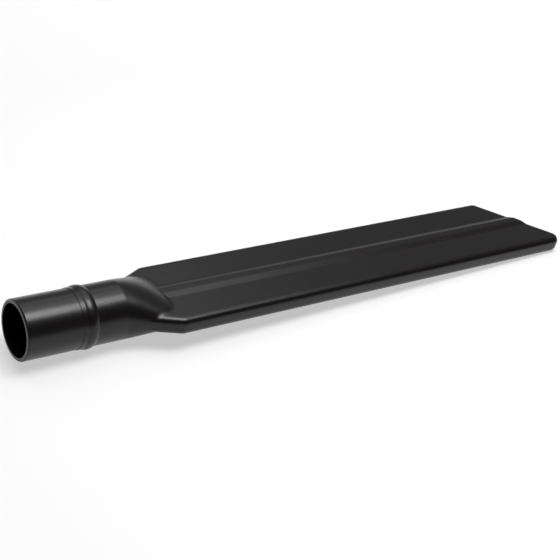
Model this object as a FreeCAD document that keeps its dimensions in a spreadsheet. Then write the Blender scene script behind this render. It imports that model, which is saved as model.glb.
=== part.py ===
"""Vacuum crevice tool: one hollow moulding from a round hose cuff to a long flat blade.

Frame: X runs from the mouth of the cuff (X = 0) to the tip, Y across the blade, Z up.
The cuff's axis is the X axis, and the blade lies in the XY plane. Millimetres and degrees.
"""
import FreeCAD, Part
import math
import os
import Sketcher

# Driving dimensions: alias, value, meaning
SIZES = (
    ("bore_diameter", 33.2, "inside of the round cuff"),
    ("cuff_wall", 2.4, "wall of the round cuff"),
    ("rim_round", 1.0, "rounding of the mouth's outer edge"),
    ("collar_start", 36.2, "mouth to the collar, where a hose cuff stops"),
    ("step_length", 2.4, "low step at the front of the collar, along the axis"),
    ("step_height", 0.3, "low step of the collar above the cuff"),
    ("bead_length", 7.6, "round bead of the collar, along the axis"),
    ("bead_height", 1.1, "round bead of the collar above the cuff"),
    ("neck_length", 66.4, "mouth to the start of the nose"),
    ("nose_length", 35.6, "length over which the round nose sinks into the blade"),
    ("nose_bulge", 1.9, "rise of the nose above a straight slope, half way along"),
    ("nose_margin", 3.25, "side of the nose's sunken end to the blade's edge"),
    ("nose_sink", 1.0, "depth of the nose's end below the blade's face"),
    ("nose_blend", 5.0, "hollow rounding where the nose meets the blade"),
    ("root_lap", 5.0, "length of the blade's root inside the neck"),
    ("root_width", 27.2, "width of the blade's root, where the shoulders start"),
    ("shoulder_reach", 32.9, "start of the nose to the corners of the shoulders, along the axis"),
    ("corner_round", 6.0, "rounding of the shoulder corners in plan"),
    ("blade_width", 62.5, "full width of the blade"),
    ("blade_thickness", 12.0, "full thickness of the blade, without the rib"),
    ("edge_round", 4.2, "rounding along the blade's edges"),
    ("blade_wall", 2.2, "wall round the flat duct in the blade"),
    ("long_side", 436.9, "mouth to the sharp corner in which the slant would meet the long side"),
    ("tip_angle", 35.8, "slant of the tip against a square end"),
    ("tip_round", 7.5, "rounding in plan of the blade's end, before the slanted cut"),
    ("tip_trim", 4.3, "depth that the slanted cut takes off the blade's end"),
    ("rib_base", 13.0, "width of the rib where it leaves the blade"),
    ("rib_crown", 4.8, "width of the rib's flat top"),
    ("rib_height", 1.4, "rib above the blade"),
    ("rib_lap", 5.0, "length of the rib inside the nose"),
    ("rib_sink", 1.0, "depth of the rib's root inside the blade"),
)

doc = FreeCAD.newDocument("crevice_tool")
sheet = doc.addObject("Spreadsheet::Sheet", "sizes")
for row, (alias, size, meaning) in enumerate(SIZES, start=1):
    sheet.set("A%d" % row, alias)
    sheet.set("B%d" % row, str(size))
    sheet.set("C%d" % row, meaning)
    sheet.setAlias("B%d" % row, alias)
doc.recompute()

# Lengths that follow from the driving dimensions, as expressions of the sheet
BORE_RADIUS = "(sizes.bore_diameter / 2)"
CUFF_RADIUS = "(sizes.bore_diameter / 2 + sizes.cuff_wall)"
BLADE_HALF = "(sizes.blade_thickness / 2)"
DUCT_HALF = "(sizes.blade_thickness / 2 - sizes.blade_wall)"
BLADE_SIDE = "(sizes.blade_width / 2)"
DUCT_SIDE = "(sizes.blade_width / 2 - sizes.blade_wall)"
NOSE_HALF_WIDTH = "(sizes.blade_width / 2 - sizes.nose_margin)"
NOSE_END = "(sizes.neck_length + sizes.nose_length)"
TIP_LONG = "(sizes.long_side + sizes.tip_trim / cos(sizes.tip_angle))"
TIP_SHORT = "(%s - sizes.blade_width * tan(sizes.tip_angle))" % TIP_LONG
BEAD_START = "(sizes.collar_start + sizes.step_length)"
BEAD_RADIUS = "((sizes.bead_length ^ 2 / 4 + sizes.bead_height ^ 2) / (2 * sizes.bead_height))"
ROOT = "(sizes.neck_length - sizes.root_lap)"
CORNER = "(sizes.neck_length + sizes.shoulder_reach)"
SHOULDER_SPREAD = "((sizes.blade_width - sizes.root_width) / 2)"
SHOULDER_ANGLE = "atan(%s / (sizes.root_lap + sizes.shoulder_reach))" % SHOULDER_SPREAD
DUCT_CORNER = "(%s + sizes.blade_wall * tan(%s / 2))" % (CORNER, SHOULDER_ANGLE)
TIP_ROUND_MIDDLE = "(%s - sizes.tip_round / tan((90 - sizes.tip_angle) / 2))" % TIP_LONG

# Names that the sketches use: origin point, sketch axes, ends of a curve
ORIGIN = (-1, 1)
ACROSS_AXIS, UP_AXIS = range(-1, -3, -1)
START, END, MIDDLE = range(1, 4)
NORMAL = FreeCAD.Vector(0, 0, 1)
SAME_PLACE = 1e-4

body = doc.addObject("PartDesign::Body", "crevice_tool")
body.Label = "crevice_tool"
body.Placement = FreeCAD.Placement()


def value_of(expression):
    return float(sheet.evalExpression(expression))


def origin_feature(role):
    return next(item for item in body.Origin.OriginFeatures if item.Role == role)


def sketch_on(name, role, height=None):
    """A sketch on one of the origin planes, lifted off it by an expression."""
    sketch = body.newObject("Sketcher::SketchObject", name)
    sketch.AttachmentSupport = [(origin_feature(role), "")]
    sketch.MapMode = "FlatFace"
    if height:
        sketch.setExpression("AttachmentOffset.Base.z", height)
    return sketch


def tie(sketch, kind, *places):
    return sketch.addConstraint(Sketcher.Constraint(kind, *places))


def drive(sketch, expression, kind, *places):
    """A sketch dimension that follows an expression of the sheet."""
    index = tie(sketch, kind, *places, value_of(expression))
    sketch.setExpression("Constraints[%d]" % index, expression)


def pin(sketch, curve, end, across, up):
    """Holds a point of the sketch at two expressions, measured from the sketch's origin."""
    for kind, axis, expression in (("DistanceX", UP_AXIS, across), ("DistanceY", ACROSS_AXIS, up)):
        value = value_of(expression)
        if value == 0:
            tie(sketch, "PointOnObject", curve, end, axis)
        elif value > 0:
            drive(sketch, expression, kind, *ORIGIN, curve, end)
        else:
            drive(sketch, "-(%s)" % expression, kind, curve, end, *ORIGIN)


def point(across, up):
    return FreeCAD.Vector(value_of(across), value_of(up), 0)


def line(sketch, start, end):
    return sketch.addGeometry(Part.LineSegment(start, end))


def arc(sketch, middle, start, end):
    """An anticlockwise arc about a middle, from one point to another."""
    circle = Part.Circle(middle, NORMAL, (start - middle).Length)
    first, last = circle.parameter(start), circle.parameter(end)
    if last < first:
        first -= 2 * math.pi
    return sketch.addGeometry(Part.ArcOfCircle(circle, first, last))


def outline(name, role, corners, height=None):
    """A sketch with an anticlockwise outline; a corner has two expressions, and a third if it is rounded."""
    sketch = sketch_on(name, role, height)
    places = [point(*corner[:2]) for corner in corners]
    ahead = [(following - place).normalize() for place, following in zip(places, places[1:] + places[:1])]
    setbacks = [turn_setback(*turn) for turn in zip(corners, ahead[-1:] + ahead, ahead)]
    lines, arcs = [], []
    for index, place in enumerate(places):
        following = (index + 1) % len(places)
        entry = places[following] - ahead[index] * setbacks[following]
        leave = places[following] + ahead[following] * setbacks[following]
        lines.append(line(sketch, place + ahead[index] * setbacks[index], entry))
        arcs.append(turn_arc(sketch, corners[following], entry, ahead[index], leave))
    for index, corner in enumerate(corners):
        join(sketch, corner, places[index], lines[index - 1], arcs[index - 1], lines[index])
    return sketch


def turn_setback(corner, into, out):
    """Distance from a corner to the start of its rounding."""
    return value_of(corner[2]) * math.tan(into.getAngle(out) / 2) if len(corner) > 2 else 0.0


def turn_arc(sketch, corner, entry, into, leave):
    """The arc of a rounded corner, which turns left; nothing at a sharp corner."""
    if len(corner) < 3:
        return None
    return arc(sketch, entry + NORMAL.cross(into) * value_of(corner[2]), entry, leave)


def join(sketch, corner, place, before, rounding, after):
    """Holds a corner of an outline at its expressions, sharp or rounded."""
    if rounding is None:
        tie(sketch, "Coincident", before, END, after, START)
        pin(sketch, after, START, *corner)
        return
    meeting = sketch.addGeometry(Part.Point(place), True)
    pin(sketch, meeting, START, *corner[:2])
    tie(sketch, "PointOnObject", meeting, START, before)
    tie(sketch, "PointOnObject", meeting, START, after)
    tie(sketch, "Tangent", before, END, rounding, START)
    tie(sketch, "Tangent", rounding, END, after, START)
    drive(sketch, corner[2], "Radius", rounding)


def oval(name, height, half_width, half_height):
    """A sketch across the axis with a circle, or an ellipse where the two halves differ."""
    sketch = sketch_on(name, "YZ_Plane", height)
    centre = FreeCAD.Vector()
    if half_width == half_height:
        curve = sketch.addGeometry(Part.Circle(centre, NORMAL, value_of(half_width)))
        drive(sketch, half_width, "Radius", curve)
    else:
        curve = sketch.addGeometry(Part.Ellipse(point(half_width, "0"), point("0", half_height), centre))
        sketch.exposeInternalGeometry(curve)
        long_axis, short_axis = curve + 1, curve + 2
        tie(sketch, "Horizontal", long_axis)
        drive(sketch, "2 * " + half_width, "Distance", long_axis)
        drive(sketch, "2 * " + half_height, "Distance", short_axis)
    tie(sketch, "Coincident", curve, MIDDLE, *ORIGIN)
    return sketch


def settle(made, grows):
    """Recomputes and makes sure that a feature added material, or took some away."""
    before = 0.0 if body.Shape.isNull() else body.Shape.Volume
    doc.recompute()
    if (body.Shape.Volume > before) != grows:
        raise RuntimeError("%s changed the solid the wrong way" % made.Name)
    return made


def feature(kind, name, profile, grows=True, **settings):
    """A feature on a profile; text settings that name the sheet become expressions."""
    made = body.newObject("PartDesign::" + kind, name)
    made.Profile = profile
    for key, setting in settings.items():
        if isinstance(setting, str) and "sizes." in setting:
            made.setExpression(key, setting)
        else:
            setattr(made, key, setting)
    return settle(made, grows)


def cuff_profile():
    """Half section of the cuff, its rounded mouth and its collar, above the axis."""
    sketch = sketch_on("cuff_profile", "XZ_Plane")
    bead_end = "(%s + sizes.bead_length)" % BEAD_START
    bead_middle = "(%s + sizes.bead_length / 2)" % BEAD_START
    rim_inset = "(%s - sizes.rim_round)" % CUFF_RADIUS
    step_top = "(%s + sizes.step_height)" % CUFF_RADIUS
    rim_edge, rim_top = point("0", rim_inset), point("sizes.rim_round", CUFF_RADIUS)
    step_foot, step_edge = point("sizes.collar_start", CUFF_RADIUS), point("sizes.collar_start", step_top)
    bead_foot, bead_last = point(BEAD_START, step_top), point(bead_end, CUFF_RADIUS)
    neck_last, neck_axis = point("sizes.neck_length", CUFF_RADIUS), point("sizes.neck_length", "0")
    mouth = line(sketch, FreeCAD.Vector(), rim_edge)
    rim = arc(sketch, point("sizes.rim_round", rim_inset), rim_top, rim_edge)
    front = line(sketch, rim_top, step_foot)
    riser = line(sketch, step_foot, step_edge)
    step = line(sketch, step_edge, bead_foot)
    bead_axis = "(%s + sizes.bead_height - %s)" % (CUFF_RADIUS, BEAD_RADIUS)
    bead = arc(sketch, point(bead_middle, bead_axis), bead_last, bead_foot)
    neck = line(sketch, bead_last, neck_last)
    end = line(sketch, neck_last, neck_axis)
    axis = line(sketch, neck_axis, FreeCAD.Vector())
    # Arcs run anticlockwise, so the rim and the bead are joined from their far ends
    tie(sketch, "Tangent", mouth, END, rim, END)
    tie(sketch, "Tangent", rim, START, front, START)
    tie(sketch, "Coincident", front, END, riser, START)
    tie(sketch, "Coincident", riser, END, step, START)
    tie(sketch, "Coincident", step, END, bead, END)
    tie(sketch, "Coincident", bead, START, neck, START)
    tie(sketch, "Coincident", neck, END, end, START)
    tie(sketch, "Coincident", end, END, axis, START)
    tie(sketch, "Coincident", axis, END, mouth, START)
    for level in (front, step, neck, axis):
        tie(sketch, "Horizontal", level)
    for upright in (mouth, riser, end):
        tie(sketch, "Vertical", upright)
    pin(sketch, mouth, START, "0", "0")
    pin(sketch, front, END, "sizes.collar_start", CUFF_RADIUS)
    pin(sketch, neck, START, bead_end, CUFF_RADIUS)
    drive(sketch, "sizes.rim_round", "Radius", rim)
    drive(sketch, "sizes.step_height", "DistanceY", riser, START, riser, END)
    drive(sketch, BEAD_RADIUS, "Radius", bead)
    drive(sketch, bead_middle, "DistanceX", *ORIGIN, bead, MIDDLE)
    drive(sketch, "sizes.neck_length", "DistanceX", *ORIGIN, neck, END)
    return sketch


def nose_ovals(name, round_half, end_half_width, blade_half):
    """The nose's three sections: round at the neck, a bulged middle, and sunk below the blade's face."""
    end_half_height = "(%s - sizes.nose_sink)" % blade_half
    half_way = "(sizes.neck_length + sizes.nose_length / 2)"
    half_width = "((%s + %s) / 2)" % (round_half, end_half_width)
    half_height = "((%s + %s) / 2 + sizes.nose_bulge)" % (round_half, end_half_height)
    return (oval(name + "_start", "sizes.neck_length", round_half, round_half),
            oval(name + "_middle", half_way, half_width, half_height),
            oval(name + "_end", NOSE_END, end_half_width, end_half_height))


def blade_plan():
    """The whole blade in plan, anticlockwise from its root: shoulders, sides and slanted end."""
    root_side = "(sizes.root_width / 2)"
    return outline("blade_plan", "XY_Plane", (
        (ROOT, "-" + root_side),
        (CORNER, "-" + BLADE_SIDE, "sizes.corner_round"),
        (TIP_LONG, "-" + BLADE_SIDE, "sizes.tip_round"),
        (TIP_SHORT, BLADE_SIDE, "sizes.tip_round"),
        (CORNER, BLADE_SIDE, "sizes.corner_round"),
        (ROOT, root_side)))


def duct_plan():
    """The flat duct in plan, a wall inside the blade; it leaves square to the slant at the long corner."""
    root_side = "(sizes.root_width / 2 - sizes.blade_wall / cos(%s))" % SHOULDER_ANGLE
    corner_inside = "(sizes.corner_round - sizes.blade_wall)"
    tip_inside = "(sizes.tip_round - sizes.blade_wall)"
    turn = "(%s + %s * tan(sizes.tip_angle / 2))" % (TIP_ROUND_MIDDLE, tip_inside)
    leave = "(%s - (%s - %s) * tan(sizes.tip_angle))" % (DUCT_SIDE, TIP_LONG, turn)
    return outline("duct_plan", "XY_Plane", (
        (ROOT, "-" + root_side),
        (DUCT_CORNER, "-" + DUCT_SIDE, corner_inside),
        (turn, "-" + DUCT_SIDE, tip_inside),
        (TIP_LONG, "-" + leave),
        (TIP_LONG, DUCT_SIDE),
        (DUCT_CORNER, DUCT_SIDE, corner_inside),
        (ROOT, root_side)))


def rounded(name, edges, radius, grows):
    """Rounds chosen edges of the solid so far; each is found by a test of the edge."""
    base = body.Tip
    chosen = ["Edge%d" % number for number, edge in enumerate(base.Shape.Edges, start=1) if edges(edge)]
    made = body.newObject("PartDesign::Fillet", name)
    made.Base = (base, chosen)
    made.setExpression("Radius", radius)
    return settle(made, grows)


def rim_at(half_height):
    """A test for the edges of two level faces, above and below the middle, that don't cross the axis."""
    def is_rim(edge):
        box = edge.BoundBox
        level = box.ZLength < SAME_PLACE and abs(abs(box.ZMin) - value_of(half_height)) < SAME_PLACE
        return level and box.YMin * box.YMax > 0
    return is_rim


def is_run_out(edge):
    """Edges of the nose's face, without its start at the neck and its seam."""
    neck = value_of("sizes.neck_length")

    def on_neck(side):
        return max(abs(side.BoundBox.XMin - neck), abs(side.BoundBox.XMax - neck)) < SAME_PLACE

    nose_face = next(face for face in body.Tip.Shape.Faces
                     if face.CenterOfMass.x > neck + SAME_PLACE and any(map(on_neck, face.Edges)))
    mine = any(edge.isSame(side) for side in nose_face.Edges)
    return mine and not on_neck(edge) and not edge.isSeam(nose_face)


def rib_section():
    """Trapezoid of the rib, rooted in the blade's upper face, where it starts inside the nose."""
    crown_level = "(%s + sizes.rib_height)" % BLADE_HALF
    root_level = "(%s - sizes.rib_sink)" % BLADE_HALF
    slope = "((sizes.rib_base - sizes.rib_crown) / 2 / sizes.rib_height)"
    crown_side, root_side = "(sizes.rib_crown / 2)", "(sizes.rib_base / 2 + sizes.rib_sink * %s)" % slope
    return outline("rib_section", "YZ_Plane", (
        ("-" + root_side, root_level),
        (root_side, root_level),
        (crown_side, crown_level),
        ("-" + crown_side, crown_level)), "%s - sizes.rib_lap" % NOSE_END)


def tip_cut():
    """Plan of what the slanted cut takes off the blade's end."""
    reach = "(%s + sizes.tip_trim)" % BLADE_SIDE
    beyond = "(%s + sizes.tip_trim)" % TIP_LONG
    long_end = "(sizes.long_side + sizes.tip_trim * tan(sizes.tip_angle))"
    short_end = "(%s - 2 * %s * tan(sizes.tip_angle))" % (long_end, reach)
    return outline("tip_cut", "XY_Plane", (
        (long_end, "-" + reach),
        (beyond, "-" + reach),
        (beyond, reach),
        (short_end, reach)))


# Outer form: flat blade with rounded edges, cuff, nose, rib, slanted tip
feature("Pad", "blade", blade_plan(), SideType="Symmetric", Length="sizes.blade_thickness")
rounded("blade_edges", rim_at(BLADE_HALF), "sizes.edge_round", grows=False)
feature("Revolution", "cuff", cuff_profile(), Angle=360.0, ReferenceAxis=(origin_feature("X_Axis"), [""]))
first_oval, *other_ovals = nose_ovals("nose", CUFF_RADIUS, NOSE_HALF_WIDTH, BLADE_HALF)
feature("AdditiveLoft", "nose", first_oval, Sections=other_ovals)
rounded("nose_blend", is_run_out, "sizes.nose_blend", grows=True)
feature("Pad", "rib", rib_section(), Length="%s - %s + sizes.rib_lap" % (TIP_LONG, NOSE_END))
feature("Pocket", "tip", tip_cut(), grows=False, SideType="Symmetric",
        Length="2 * (sizes.blade_thickness + sizes.rib_height)")

# Inner form: flat duct of the blade, bore of the cuff, throat under the nose
feature("Pocket", "duct", duct_plan(), grows=False, SideType="Symmetric", Length="2 * " + DUCT_HALF)
rounded("duct_edges", rim_at(DUCT_HALF), "sizes.edge_round - sizes.blade_wall", grows=True)
bore_circle = oval("bore_circle", None, BORE_RADIUS, BORE_RADIUS)
feature("Pocket", "bore", bore_circle, grows=False, Length="sizes.neck_length", Reversed=True)
throat_half_width = "(%s - sizes.blade_wall)" % NOSE_HALF_WIDTH
first_oval, *other_ovals = nose_ovals("throat", BORE_RADIUS, throat_half_width, DUCT_HALF)
feature("SubtractiveLoft", "throat", first_oval, grows=False, Sections=other_ovals)

# Every object has to be sound before the solid is written
for item in doc.Objects:
    if "Invalid" in item.State or "Error" in item.State:
        raise RuntimeError("%s did not build: %s" % (item.Name, item.State))
if body.Shape.isNull() or not body.Shape.isValid() or len(body.Shape.Solids) != 1:
    raise RuntimeError("the tool is not one sound solid")
os.makedirs("parts", exist_ok=True)
body.Shape.exportStep("parts/%s.step" % body.Label)
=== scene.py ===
"""Looks of the vacuum crevice tool: black satin plastic on a white floor under soft light."""
import math

import bpy
from mathutils import Matrix, Vector

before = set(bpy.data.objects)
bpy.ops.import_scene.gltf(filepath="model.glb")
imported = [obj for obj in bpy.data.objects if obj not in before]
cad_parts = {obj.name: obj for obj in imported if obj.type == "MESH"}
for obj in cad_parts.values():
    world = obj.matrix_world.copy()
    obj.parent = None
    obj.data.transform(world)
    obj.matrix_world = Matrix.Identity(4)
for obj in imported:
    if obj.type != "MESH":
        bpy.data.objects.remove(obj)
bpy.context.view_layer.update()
scene = bpy.context.scene
scene.view_settings.view_transform = "Standard"
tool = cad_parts["crevice_tool"]

# Plastic: colour, strength and roughness of its sheen, and the sizes of its grain
PLASTIC_COLOR = (0.006, 0.0048, 0.0053, 1.0)
PLASTIC_IOR = 1.5
PLASTIC_SHEEN = 0.37
PLASTIC_ROUGHNESS = (0.25, 0.33)
GRAIN_SCALE = 2600.0
GRAIN_STRENGTH = 0.12
GRAIN_DEPTH = 0.0001
CLOUD_SCALE = 55.0

# Edge softness: it grows from the cuff's to the blade's over a stretch of the neck
SOFTNESS_STRETCH = (0.05, 0.062)
EDGE_SOFTNESS = (0.0005, 0.002)
SOFTNESS_SAMPLES = 8

# Floor: it touches the collar and the two corners of the slanted tip, so it is tilted a little
FLOOR_SLOPE_X = 0.03785
FLOOR_SLOPE_Y = 0.0273
FLOOR_SIZE = 60.0
FLOOR_MIDDLE = 0.22
FLOOR_COLOR = (0.42, 0.42, 0.42, 1.0)
FLOOR_ROUGHNESS = 0.9
WHITE = (1.0, 1.0, 1.0, 1.0)

# Lift of the floor to white: it rises with the distance from the floor's middle
LIFT_DISTANCE = (0.3, 1.6)
LIFT = (0.52, 1.0)

# Surroundings: brightness from the camera's side to the far side of the tool
WORLD_STRETCH = (-0.5, 0.6)
WORLD_BRIGHTNESS = (0.03, 0.24)

# Camera at the photograph's place
CAMERA_PLACE = (-0.2902, -0.5398, 0.4605)
CAMERA_FORWARD = (0.5617, 0.6274, -0.5393)
CAMERA_UP = (0.1700, 0.5505, 0.8173)
CAMERA_LENS = 82.22
CAMERA_SENSOR = 36.0
CAMERA_SHIFT = (0.0005, -0.0008)


def add_node(tree, kind, place, operation=None, **inputs):
    """A shader node at a place in the editor, with values set on its sockets."""
    node = tree.nodes.new(kind)
    node.location = place
    if operation:
        node.operation = operation
    for name, value in inputs.items():
        node.inputs[name].default_value = value
    return node


def map_range(tree, place, source, target):
    """A node that carries one range of values over to another."""
    node = add_node(tree, "ShaderNodeMapRange", place)
    for name, value in zip(("From Min", "From Max", "To Min", "To Max"), source + target):
        node.inputs[name].default_value = value
    return node


def new_material(name, color):
    """A material with its default shader, in one base colour."""
    material = bpy.data.materials.new(name)
    material.use_nodes = True
    shader = material.node_tree.nodes["Principled BSDF"]
    shader.inputs["Base Color"].default_value = color
    return material, material.node_tree, shader


def black_plastic():
    """Black moulded plastic: faint grain in the gloss and the surface, softened edges."""
    material, tree, shader = new_material("black_plastic", PLASTIC_COLOR)
    shader.inputs["IOR"].default_value = PLASTIC_IOR
    shader.inputs["Specular IOR Level"].default_value = PLASTIC_SHEEN
    place = add_node(tree, "ShaderNodeTexCoord", (-1100, 0))
    grain = add_node(tree, "ShaderNodeTexNoise", (-850, 120), Scale=GRAIN_SCALE, Detail=3.0, Roughness=0.6)
    clouds = add_node(tree, "ShaderNodeTexNoise", (-850, -160), Scale=CLOUD_SCALE, Detail=4.0, Roughness=0.55)
    gloss = map_range(tree, (-560, -160), (0.0, 1.0), PLASTIC_ROUGHNESS)
    along = add_node(tree, "ShaderNodeSeparateXYZ", (-1000, -420))
    softness = map_range(tree, (-800, -420), SOFTNESS_STRETCH, EDGE_SOFTNESS)
    bevel = add_node(tree, "ShaderNodeBevel", (-560, -420))
    bevel.samples = SOFTNESS_SAMPLES
    bump = add_node(tree, "ShaderNodeBump", (-280, -60), Strength=GRAIN_STRENGTH, Distance=GRAIN_DEPTH)
    link = tree.links.new
    for reader in (grain, clouds, along):
        link(place.outputs["Object"], reader.inputs["Vector"])
    link(clouds.outputs["Fac"], gloss.inputs["Value"])
    link(gloss.outputs["Result"], shader.inputs["Roughness"])
    link(along.outputs["X"], softness.inputs["Value"])
    link(softness.outputs["Result"], bevel.inputs["Radius"])
    link(grain.outputs["Fac"], bump.inputs["Height"])
    link(bevel.outputs["Normal"], bump.inputs["Normal"])
    link(bump.outputs["Normal"], shader.inputs["Normal"])
    return material


def pale_floor():
    """White floor that keeps shadows; to the eye and in reflections it is lifted to white."""
    material, tree, shader = new_material("pale_floor", FLOOR_COLOR)
    shader.inputs["Roughness"].default_value = FLOOR_ROUGHNESS
    shader.inputs["Specular IOR Level"].default_value = 0.0
    shader.inputs["Emission Color"].default_value = WHITE
    place = add_node(tree, "ShaderNodeTexCoord", (-950, 0))
    distance = add_node(tree, "ShaderNodeVectorMath", (-700, 0), "LENGTH")
    lift = map_range(tree, (-450, 0), LIFT_DISTANCE, LIFT)
    path = add_node(tree, "ShaderNodeLightPath", (-700, -300))
    seen = add_node(tree, "ShaderNodeMath", (-450, -250), "MAXIMUM")
    lifted = add_node(tree, "ShaderNodeMath", (-220, -300), "MAXIMUM")
    glow = add_node(tree, "ShaderNodeMath", (-100, -150), "MULTIPLY")
    link = tree.links.new
    link(place.outputs["Object"], distance.inputs[0])
    link(distance.outputs["Value"], lift.inputs["Value"])
    link(path.outputs["Is Camera Ray"], seen.inputs[0])
    link(path.outputs["Is Glossy Ray"], seen.inputs[1])
    link(seen.outputs["Value"], lifted.inputs[0])
    link(path.outputs["Is Transmission Ray"], lifted.inputs[1])
    link(lift.outputs["Result"], glow.inputs[0])
    link(lifted.outputs["Value"], glow.inputs[1])
    link(glow.outputs["Value"], shader.inputs["Emission Strength"])
    return material


def tilted_floor():
    """A large plane that the tool rests on."""
    tilt = Vector((-FLOOR_SLOPE_X, -FLOOR_SLOPE_Y, 1.0))
    lowest = min((tool.matrix_world @ vertex.co).dot(tilt) for vertex in tool.data.vertices)
    bpy.ops.mesh.primitive_plane_add(size=FLOOR_SIZE)
    floor = bpy.context.object
    floor.name = "floor"
    place = (FLOOR_MIDDLE, 0, lowest + FLOOR_MIDDLE * FLOOR_SLOPE_X)
    turn = tilt.to_track_quat("Z", "Y").to_matrix().to_4x4()
    floor.matrix_world = Matrix.Translation(place) @ turn
    return floor


def soft_light(name, place, size, radiance):
    """A rectangular soft light that shines straight down; its power follows from its brightness."""
    light = bpy.data.lights.new(name, "AREA")
    light.shape = "RECTANGLE"
    light.size, light.size_y = size
    light.energy = radiance * light.size * light.size_y * math.pi
    lamp = bpy.data.objects.new(name, light)
    scene.collection.objects.link(lamp)
    lamp.matrix_world = Matrix.Translation(place)


def studio_world():
    """Dim surroundings: brighter on the far side of the tool, darker behind the camera."""
    world = bpy.data.worlds.new("studio")
    world.use_nodes = True
    tree = world.node_tree
    background = tree.nodes["Background"]
    background.inputs["Color"].default_value = WHITE
    place = add_node(tree, "ShaderNodeTexCoord", (-700, 0))
    split = add_node(tree, "ShaderNodeSeparateXYZ", (-500, 0))
    fade = map_range(tree, (-300, 0), WORLD_STRETCH, WORLD_BRIGHTNESS)
    tree.links.new(place.outputs["Generated"], split.inputs["Vector"])
    tree.links.new(split.outputs["Y"], fade.inputs["Value"])
    tree.links.new(fade.outputs["Result"], background.inputs["Strength"])
    return world


def photo_camera():
    """The camera, with its right, up and backward directions as columns."""
    lens = bpy.data.cameras.new("camera")
    lens.sensor_width = CAMERA_SENSOR
    lens.lens = CAMERA_LENS
    lens.shift_x, lens.shift_y = CAMERA_SHIFT
    camera = bpy.data.objects.new("camera", lens)
    scene.collection.objects.link(camera)
    forward = Vector(CAMERA_FORWARD).normalized()
    right = forward.cross(Vector(CAMERA_UP)).normalized()
    up = right.cross(forward)
    turn = Matrix((right, up, -forward)).transposed().to_4x4()
    camera.matrix_world = Matrix.Translation(CAMERA_PLACE) @ turn
    return camera


tool.data.materials.clear()
tool.data.materials.append(black_plastic())
for polygon in tool.data.polygons:
    polygon.material_index = 0

floor = tilted_floor()
floor.data.materials.append(pale_floor())

soft_light("key", place=(0.28, -0.2, 0.9), size=(0.55, 0.42), radiance=9.8)
soft_light("halo", place=(0.33, 0.05, 0.93), size=(1.0, 0.7), radiance=1.5)
soft_light("ceiling", place=(0.28, 0.8, 0.95), size=(1.36, 1.0), radiance=0.9)
scene.world = studio_world()
scene.camera = photo_camera()
